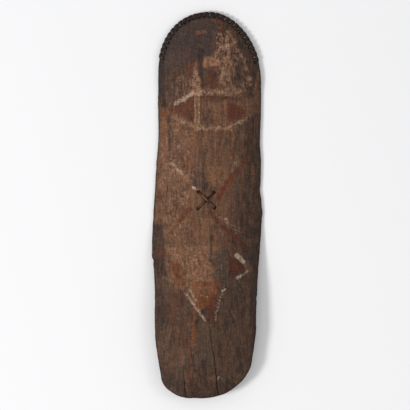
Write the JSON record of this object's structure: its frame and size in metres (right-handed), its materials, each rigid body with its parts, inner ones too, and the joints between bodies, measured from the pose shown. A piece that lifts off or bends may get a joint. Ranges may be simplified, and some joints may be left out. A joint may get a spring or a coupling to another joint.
{
  "type": "tribal shield",
  "caption": "Long carved wooden battle shield with a laced round top, crossed lacing at its middle, cracked foot and worn painted bands.",
  "frame": {"origin": "on the ground under the middle of the shield's outline, as it lies on its back", "axes": "+Y from the foot towards the laced top, +Z out of the painted front, +X to the right of someone who looks at the front with the top up"},
  "size_m": [0.4269, 1.4995, 0.082],
  "materials": {
    "painted_wood": "old hand-hewn wood, dark brown with smoke and handling, with worn red, white and ochre earth paint",
    "rim_strand": "dark plant fibre strand, greasy and dirty, with paler scuffs",
    "cross_strand": "brown twisted cane strand, polished along its top"
  },
  "bodies": {
    "root": {"board": "painted_wood", "rim_lacing": "rim_strand", "cross_lacing": "cross_strand"}
  },
  "joints": []
}
